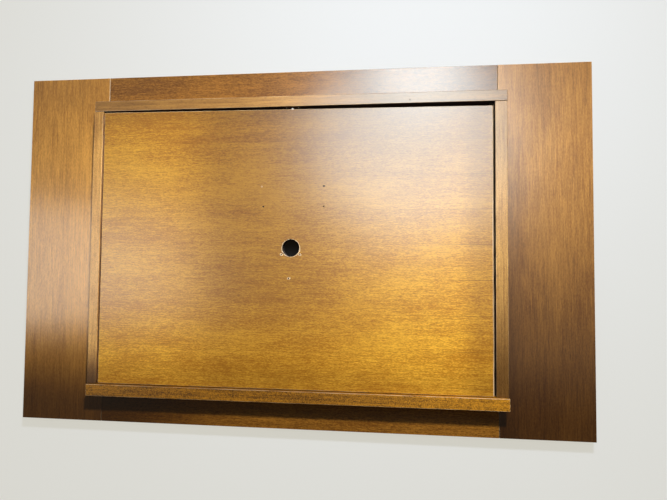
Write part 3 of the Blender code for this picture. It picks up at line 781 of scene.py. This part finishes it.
def paint_boards():
    """The four face boards and the door."""
    bores = [(centre, PILOT_RADIUS) for centre in PILOTS.values()] + [(CABLE_HOLE, CABLE_HOLE_RADIUS)]
    boards = {
        "left_stile": {
            "axis": "Z",
            "dark": LEFT_STILE_DARK,
            "light": LEFT_STILE_LIGHT,
            "seed": 0.3,
            "shade": left_stile_shade,
            "fibres": UPRIGHT_FIBRES | {"ticks": 1.2, "lines": 0.6, "pale_edge_strip": (stile_high.x, 0.50)},
            "leaf": (0.105, 0.02),
            "raw_side": 1.0,
            "gloss": {"coat": 0.22, "weight": 0.66, "thin": (-0.42, -0.22, 0.25)},
        },
        "right_stile": {
            "axis": "Z",
            "dark": RIGHT_STILE_DARK,
            "light": RIGHT_STILE_LIGHT,
            "seed": 7.1,
            "shade": right_stile_shade,
            "fibres": UPRIGHT_FIBRES,
            "leaf": (0.098, 0.05),
            "raw_side": -1.0,
            "gloss": {"weight": 0.60, "thin": (-0.58, -0.30, 0.25)},
        },
        "top_rail": {
            "axis": "X",
            "dark": TOP_RAIL_DARK,
            "light": TOP_RAIL_LIGHT,
            "seed": 2.6,
            "shade": top_rail_shade,
            "fibres": LEVEL_FIBRES,
            "leaf": (0.3, 0.4),
            "gloss": HIGH_GLOSS,
        },
        "bottom_rail": {
            "axis": "X",
            "dark": BOTTOM_RAIL_DARK,
            "light": BOTTOM_RAIL_LIGHT,
            "seed": 5.4,
            "shade": bottom_rail_shade,
            "fibres": LEVEL_FIBRES,
            "leaf": (0.3, -0.7),
            "wear_and_highlight": 0.2,
            "gloss": {"weight": 0.2},
        },
        "door_panel": {
            "axis": "X",
            "dark": DOOR_DARK,
            "light": DOOR_LIGHT,
            "seed": 3.35,
            "shade": door_shade,
            "fibres": LEVEL_FIBRES | {"bores": bores, "pale_edge_strip": (door_high.x, -0.60)},
            "leaf": (0.113, -0.103),
            "wear_and_highlight": 1.0,
        },
    }
    for node, settings in boards.items():
        paint(node, veneer(node, **settings))


def paint_raised_frame():
    """The battens, the ledge and the door's stop."""
    pieces = {
        "top_batten": {
            "axis": "X",
            "dark": BATTEN_DARK,
            "light": BATTEN_LIGHT,
            "pith": (0.40, -0.20),
            "seed": 1.0,
            "shade": top_batten_shade,
            "coat": 0.62,
            "shaded_faces": [(2, -1.0)],
        },
        "bottom_ledge": {
            "axis": "X",
            "dark": LEDGE_DARK,
            "light": LEDGE_LIGHT,
            "pith": (-0.60, -0.25),
            "seed": 4.0,
            "shade": ledge_shade,
            "coat": 0.15,
            "specks": 0.7,
            "mottle": 2.6,
        },
        "left_batten": {
            "axis": "Z",
            "dark": LEFT_BATTEN_DARK,
            "light": LEFT_BATTEN_LIGHT,
            "pith": (-0.60, -0.20),
            "seed": 7.0,
            "shade": left_batten_shade,
            "coat": 0.50,
            "wear_and_highlight": 0.1,
            "mottle": 1.2,
            "thin": 0.4,
        },
        "right_batten": {
            "axis": "Z",
            "dark": RIGHT_BATTEN_DARK,
            "light": RIGHT_BATTEN_LIGHT,
            "pith": (0.78, -0.18),
            "seed": 11.0,
            "shade": right_batten_shade,
            "coat": 0.54,
            "shaded_faces": [(0, -1.0)],
            "mottle": 1.2,
            "thin": 0.2,
        },
        # The door's stop, near-black as painted shade inside the gap
        "door_stop": {
            "axis": "Z",
            "dark": PAINTED_GAP_SHADE,
            "light": STOP_LIGHT,
            "pith": (0.60, -0.16),
            "seed": 15.0,
            "shade": even_shade,
            "rough": 1.0,
            "coat": 0.0,
        },
    }
    for node, settings in pieces.items():
        paint(node, timber(node, ring=FRAME_RING, **settings))


def paint_bare_wood():
    """The softwood, the dowels and the plywood behind the door."""
    bare = {"shade": even_shade, "coat": 0.0}
    grounds = {
        "hanging_cleat": "X",
        "wall_cleat": "X",
        "bottom_ground": "X",
        "left_noggin": "X",
        "right_noggin": "X",
        "left_outer_ground": "Z",
        "left_inner_ground": "Z",
        "right_inner_ground": "Z",
        "right_outer_ground": "Z",
    }
    pine = bare | {"dark": PINE_DARK, "light": PINE_LIGHT, "ring": PINE_RING}
    pine |= {"rough": 0.70, "specks": 0.1, "knots": 0.8}
    for index, (node, axis) in enumerate(grounds.items()):
        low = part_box(node)[0]
        pith_place = (low.z - centre_z if axis == "X" else low.x) - PINE_PITH_OFFSET
        paint(node, timber(node, axis, pith=(pith_place, PINE_PITH_DEPTH), seed=index * 3.0, **pine))
    beech = bare | {"dark": BEECH_DARK, "light": BEECH_LIGHT, "ring": BEECH_RING}
    beech |= {"rough": 0.65, "specks": 0.5}
    dowel_beech = timber("dowel_beech", "X", pith=(0.0, 0.2), seed=2.0, **beech)
    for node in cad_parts:
        if "_dowel_" in node:
            paint(node, dowel_beech)
    paint("bracket_backer", plywood("bracket_backer", BACKER_PLIES))


def paint_metal():
    """The hinge and the catch."""
    bronze = metal("hinge_bronze", BRONZE_DARK, BRONZE_LIGHT, 0.45, 900.0, 1.0)
    for node in ("hinge_frame_leaf", "hinge_door_leaf", "hinge_pin"):
        paint(node, bronze)
    # The strike plate sits in the gap: its colours are darkened as painted shade
    paint("strike_plate", metal("strike_bronze", PAINTED_GAP_SHADE, BRONZE_DARK, 0.60, 900.0, 2.0))
    nickel = metal("catch_nickel", NICKEL_DARK, NICKEL_LIGHT, 0.62, 1500.0, 4.0)
    for node in ("catch_barrel", "catch_plunger"):
        paint(node, nickel)


def add_piece(name, bm, material, body):
    """Turn a bmesh into a piece that rides on a body."""
    mesh = bpy.data.meshes.new(name)
    bmesh.ops.recalc_face_normals(bm, faces=bm.faces)
    bm.to_mesh(mesh)
    bm.free()
    mesh.materials.append(material)
    piece = bpy.data.objects.new(name, mesh)
    bpy.context.scene.collection.objects.link(piece)
    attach(piece, body)
    return piece


def around_point(centre, distance, angle, depth):
    """A place at a distance and angle from a point on the front, at a depth."""
    across = centre[0] + distance * math.cos(angle)
    up = centre[1] + distance * math.sin(angle)
    return from_centre((across, depth, up))


def chipped_ring(name, centre, radius, spread, seed, steps, material, share_above=1.0):
    """Torn bare wood around a hole: a jagged ring that is drawn out along the grain."""
    chance = random.Random(seed)
    rings = [[], [], []]
    bm = bmesh.new()
    for step in range(steps):
        angle = 2 * math.pi * step / steps
        reach = spread * (0.25 + 0.75 * chance.random()) * (0.55 + 0.9 * math.cos(angle) ** 2)
        if math.sin(angle) > 0.0:
            reach *= share_above
        lift = CHIP_LIFT + CHIP_LIFT_SPREAD * chance.random()
        spots = [(radius, -lift), (radius + reach * 0.45, -lift * 0.8), (radius + reach, RIM_SINK)]
        for ring, (distance, height) in zip(rings, spots):
            ring.append(bm.verts.new(around_point(centre, distance, angle, door_low.y + height)))
    foot = [bm.verts.new((v.co.x, door_low.y + CHIP_FOOT, v.co.z)) for v in rings[0]]
    for inner, outer in zip([foot] + rings[:2], rings):
        for step in range(steps):
            after = (step + 1) % steps
            bm.faces.new((inner[step], inner[after], outer[after], outer[step]))
    return add_piece(name, bm, material, "door")


def filled_spot(name, centre, radius, seed, material, front, body, slot):
    """A blob of filler or a dark spot over an old hole in a face."""
    chance = random.Random(seed)
    bm = bmesh.new()
    top = bm.verts.new(from_centre((centre[0], front - SPOT_TOP, centre[1])))
    rings = []
    for share, height in ((0.5, -SPOT_SHOULDER), (1.0, RIM_SINK)):
        ring = []
        for step in range(SPOT_STEPS):
            angle = 2 * math.pi * step / SPOT_STEPS
            distance = radius * share * (0.8 + 0.4 * chance.random())
            ring.append(bm.verts.new(around_point(centre, distance, angle, front + height)))
        rings.append(ring)
    for step in range(SPOT_STEPS):
        after = (step + 1) % SPOT_STEPS
        bm.faces.new((top, rings[0][step], rings[0][after]))
        bm.faces.new((rings[0][step], rings[1][step], rings[1][after], rings[0][after]))
    return add_piece(name, bm, material, body)


def add_marks():
    """The door's chipped holes and its filled one, and a nail spot on the top batten."""
    chip = torn_wood("bare_chip", TORN_DARK, TORN_LIGHT, 1.0)
    dark_spot = torn_wood("dark_spot_fibre", DARK_SPOT_LOW, DARK_SPOT_HIGH, 3.0)
    filler = torn_wood("old_filler", FILLER_DARK, FILLER_LIGHT, 5.0)
    # Three pilot holes get near-black rings of painted shade that widen the holes' dark; the rest get pale
    # torn chips
    for index, (name, centre) in enumerate(PILOTS.items()):
        spread = PILOT_CHIPS.get(name, WIDE_CHIP)
        material = dark_spot if name in PILOT_CHIPS else chip
        chipped_ring("chip_" + name, centre, PILOT_RADIUS, spread, index, PILOT_CHIP_STEPS, material)
    chipped_ring(
        "chip_cable_hole",
        CABLE_HOLE,
        CABLE_HOLE_RADIUS,
        CABLE_CHIP,
        CABLE_CHIP_SEED,
        CABLE_CHIP_STEPS,
        chip,
        CABLE_CHIP_ABOVE,
    )
    door_home = (door_low.y, "door", "door_veneer")
    filled_spot("filled_hole", FILLED_HOLE, FILLED_HOLE_RADIUS, FILLED_HOLE_SEED, filler, *door_home)
    batten_home = (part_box("top_batten")[0].y, "carcass", "batten_wood")
    filled_spot("batten_nail", BATTEN_NAIL, BATTEN_NAIL_RADIUS, BATTEN_NAIL_SEED, dark_spot, *batten_home)


def screw_body(bm, head, shank, length, pitch):
    """A countersunk screw along -Z, head at the origin: cross recess, neck, helical thread and point."""
    sink = head - shank
    point = POINT_SHANKS * shank
    turns = (length - sink - point) / pitch
    rows = round(turns * RINGS_PER_TURN)
    levels = [(0.0, head, 0.0), (-RIM_SHARE * sink, head, 0.0), (-sink, shank * NECK_SHARE, 0.0)]
    for row in range(1, rows + 1):
        height = -sink - row * pitch / RINGS_PER_TURN
        levels.append((height, shank * CORE_SHARE, shank * CREST_SHARE))
    for row in range(1, POINT_ROWS):
        share = 1 - row / POINT_ROWS
        height = -length + point * share
        levels.append((height, shank * CORE_SHARE * share, shank * POINT_CREST_SHARE * share))
    rings = []
    for height, core, crest in levels:
        ring = []
        for step in range(SCREW_SIDES):
            turn = step / SCREW_SIDES
            phase = (height / pitch + turn) % 1.0
            ridge = max(0.0, 1.0 - abs(phase - 0.5) * RIDGE_STEEPNESS)
            distance = core + crest * ridge
            angle = 2 * math.pi * turn
            ring.append(bm.verts.new((distance * math.cos(angle), distance * math.sin(angle), height)))
        rings.append(ring)
    for upper, lower in zip(rings, rings[1:]):
        for step in range(SCREW_SIDES):
            after = (step + 1) % SCREW_SIDES
            bm.faces.new((upper[step], upper[after], lower[after], lower[step]))
    tip = bm.verts.new((0.0, 0.0, -length))
    for step in range(SCREW_SIDES):
        bm.faces.new((rings[-1][step], rings[-1][(step + 1) % SCREW_SIDES], tip))
    cross_recess(bm, rings[0], head, sink)


def cross_recess(bm, rim, head, sink):
    """Close a screw's head with a flat top and a tapered cross in it."""
    wide = head * RECESS_REACH
    thin = head * RECESS_HALF_WIDTH
    corners = []
    for quarter in range(4):
        turn = Matrix.Rotation(quarter * math.pi / 2, 3, "Z")
        arm = [(wide, -thin, 0.0), (wide, thin, 0.0), (thin, thin, 0.0)]
        corners += [turn @ Vector(corner) for corner in arm]
    floor = [(corner.x * RECESS_TAPER, corner.y * RECESS_TAPER, -RECESS_DEPTH * sink) for corner in corners]
    upper = [bm.verts.new(corner) for corner in corners]
    lower = [bm.verts.new(corner) for corner in floor]
    count = len(corners)
    edges = [bm.edges.new((upper[step], upper[(step + 1) % count])) for step in range(count)]
    for step in range(SCREW_SIDES):
        pair = (rim[step], rim[(step + 1) % SCREW_SIDES])
        edges.append(bm.edges.get(pair))
    bmesh.ops.triangle_fill(bm, edges=edges, use_beauty=True)
    for step in range(count):
        after = (step + 1) % count
        bm.faces.new((upper[step], upper[after], lower[after], lower[step]))
    bm.faces.new(lower)


def add_screws():
    """A detailed screw in place of each plain one."""
    zinc = metal("screw_zinc", ZINC_DARK, ZINC_LIGHT, 0.40, 1300.0, 7.0)
    kinds = {
        "batten_screw": ((0, -1, 0), BATTEN_SHANK, BATTEN_PITCH, "carcass"),
        "ledge_screw": ((0, -1, 0), BATTEN_SHANK, BATTEN_PITCH, "carcass"),
        "hinge_frame_screw": ((-1, 0, 0), SMALL_SHANK, SMALL_PITCH, "carcass"),
        "hinge_door_screw": ((1, 0, 0), SMALL_SHANK, SMALL_PITCH, "door"),
        "strike_screw": ((0, 0, 1), SMALL_SHANK, SMALL_PITCH, "carcass"),
    }
    for node in sorted(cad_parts):
        kind = next((name for name in kinds if name in node), None)
        if kind is None:
            continue
        direction, shank, pitch, body = kinds[kind]
        direction = Vector(direction)
        low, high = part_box(node)
        size = high - low
        length = abs(size.dot(direction))
        head = max((size - direction * size.dot(direction)).to_tuple()) / 2
        place = (low + high) / 2 - direction * length / 2
        bm = bmesh.new()
        screw_body(bm, head, shank, length, pitch)
        turn = Vector((0.0, 0.0, -1.0)).rotation_difference(direction).to_matrix().to_4x4()
        spin = Matrix.Rotation(random.Random(node).random() * math.pi, 4, "Z")
        bm.transform(Matrix.Translation(place) @ turn @ spin)
        screw = add_piece("made_" + node, bm, zinc, body)
        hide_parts(node)


def make_wall():
    """A pale wall, clear from behind, grey inside the panel's outline, with painted shade behind the cable.
    """
    mesh = bpy.data.meshes.new("stage_wall")
    reach = WALL_REACH
    corners = [(-reach, -reach), (reach, -reach), (reach, reach), (-reach, reach)]
    mesh.from_pydata([from_centre((across, WALL_GAP, up)) for across, up in corners], [], [(0, 1, 2, 3)])
    wall = bpy.data.objects.new("stage_wall", mesh)
    bpy.context.scene.collection.objects.link(wall)
    graph = Graph("stage_wall")
    beside = graph.maths("SUBTRACT", graph.maths("ABSOLUTE", graph.right), panel_high.x - COVERED_MARGIN)
    above = graph.maths("SUBTRACT", graph.maths("ABSOLUTE", graph.up), half_height - COVERED_MARGIN)
    outside = graph.maths("GREATER_THAN", graph.maths("MAXIMUM", beside, above), 0.0)
    hole = graph.maths("LESS_THAN", graph.away(*CABLE_HOLE), WALL_HOLE_RADIUS)
    covered = graph.mix(hole, WALL_COVERED, WALL_HOLE)
    graph.finish(
        Base_Color=graph.mix(outside, covered, WALL_LIT),
        Roughness=0.9,
        Emission_Color=WALL_GLOW,
        Emission_Strength=graph.times(outside, graph.seen()),
    )
    backfacing = graph.add("ShaderNodeNewGeometry").outputs["Backfacing"]
    hidden = graph.times(backfacing, graph.add("ShaderNodeLightPath").outputs["Is Camera Ray"])
    clear = graph.add("ShaderNodeBsdfTransparent").outputs[0]
    shown = graph.add("ShaderNodeMixShader", {0: hidden, 1: graph.shader.outputs[0], 2: clear}).outputs[0]
    graph.links.new(shown, graph.nodes["Material Output"].inputs["Surface"])
    mesh.materials.append(graph.material)
    return wall


def make_floor():
    """A pale floor well below the panel."""
    mesh = bpy.data.meshes.new("stage_floor")
    bm = bmesh.new()
    bmesh.ops.create_circle(bm, cap_ends=True, segments=FLOOR_SIDES, radius=FLOOR_REACH)
    bm.to_mesh(mesh)
    bm.free()
    floor = bpy.data.objects.new("stage_floor", mesh)
    floor.location = from_centre((0.0, 0.0, -FLOOR_DROP))
    bpy.context.scene.collection.objects.link(floor)
    graph = Graph("stage_floor")
    graph.finish(
        Base_Color=FLOOR_LIT,
        Roughness=0.8,
        Emission_Color=FLOOR_GLOW,
        Emission_Strength=graph.seen(),
    )
    mesh.materials.append(graph.material)


def make_world():
    """Weak even light, with a pale background where the camera and reflections look past the stage."""
    world = bpy.data.worlds.new("studio")
    bpy.context.scene.world = world
    world.use_nodes = True
    nodes = world.node_tree.nodes
    links = world.node_tree.links
    pale = nodes["Background"]
    pale.inputs["Color"].default_value = (*WORLD_PALE, 1.0)
    light = nodes.new("ShaderNodeBackground")
    light.inputs["Color"].default_value = (*WHITE, 1.0)
    light.inputs["Strength"].default_value = WORLD_LIGHT
    path = nodes.new("ShaderNodeLightPath").outputs
    seen = path["Is Camera Ray"]
    for name in ("Is Glossy Ray", "Is Transmission Ray"):
        either = nodes.new("ShaderNodeMath")
        either.operation = "MAXIMUM"
        links.new(seen, either.inputs[0])
        links.new(path[name], either.inputs[1])
        seen = either.outputs[0]
    mix = nodes.new("ShaderNodeMixShader")
    links.new(seen, mix.inputs[0])
    links.new(light.outputs[0], mix.inputs[1])
    links.new(pale.outputs[0], mix.inputs[2])
    links.new(mix.outputs[0], nodes["World Output"].inputs["Surface"])


def make_lamp(name, place, size, power, colour, shape):
    """An area lamp that points at the panel's centre."""
    data = bpy.data.lights.new(name, "AREA")
    data.shape = shape
    data.size, data.size_y = size
    data.energy = power
    data.color = colour
    lamp = bpy.data.objects.new(name, data)
    bpy.context.scene.collection.objects.link(lamp)
    lamp.location = from_centre(place)
    direction = from_centre((0.0, 0.0, 0.0)) - lamp.location
    lamp.rotation_euler = direction.to_track_quat("-Z", "Y").to_euler()
    return lamp


def exclude(name, objects):
    """A collection that leaves objects out of a lamp's light or shadow."""
    collection = bpy.data.collections.new(name)
    for obj in objects:
        collection.objects.link(obj)
    for item in collection.collection_objects:
        item.light_linking.link_state = "EXCLUDE"
    return collection


def make_lamps(wall):
    """A small lamp high in front, three that only give sheen, and one behind that the wall lets through."""
    key = make_lamp("key_lamp", KEY_PLACE, KEY_SIZE, KEY_POWER, KEY_COLOUR, "ELLIPSE")
    key.visible_glossy = False
    glare = make_lamp("glare_lamp", GLARE_PLACE, GLARE_SIZE, GLARE_POWER, GLOSS_COLOUR, "ELLIPSE")
    halo = make_lamp("halo_lamp", HALO_PLACE, HALO_SIZE, HALO_POWER, GLOSS_COLOUR, "ELLIPSE")
    side = make_lamp("side_lamp", SIDE_PLACE, SIDE_SIZE, SIDE_POWER, SIDE_COLOUR, "RECTANGLE")
    for sheen in (glare, halo, side):
        sheen.visible_diffuse = False
    back = make_lamp("back_lamp", BACK_PLACE, BACK_SIZE, BACK_POWER, WHITE, "RECTANGLE")
    back.light_linking.blocker_collection = exclude("back_lamp_passes", [wall])
    inside = [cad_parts[node] for node in ("top_batten", "right_batten", "door_stop", "strike_plate")]
    back.light_linking.receiver_collection = exclude("back_lamp_misses", inside + [wall])


def make_camera():
    """A camera at the photograph's place."""
    data = bpy.data.cameras.new("camera")
    data.sensor_width = CAMERA_SENSOR
    data.lens = CAMERA_FOCUS
    camera = bpy.data.objects.new("camera", data)
    bpy.context.scene.collection.objects.link(camera)
    turn = Matrix.Rotation(CAMERA_TURN, 4, "Z")
    rise = Matrix.Rotation(math.pi / 2 + CAMERA_RISE, 4, "X")
    roll = Matrix.Rotation(CAMERA_ROLL, 4, "Z")
    camera.matrix_world = Matrix.Translation(from_centre(CAMERA_PLACE)) @ turn @ rise @ roll
    bpy.context.scene.camera = camera


paint_boards()
paint_raised_frame()
paint_bare_wood()
paint_metal()
add_marks()
add_screws()
make_camera()
stage_wall = make_wall()
make_floor()
make_world()
make_lamps(stage_wall)
bpy.context.scene.view_settings.view_transform = "Standard"
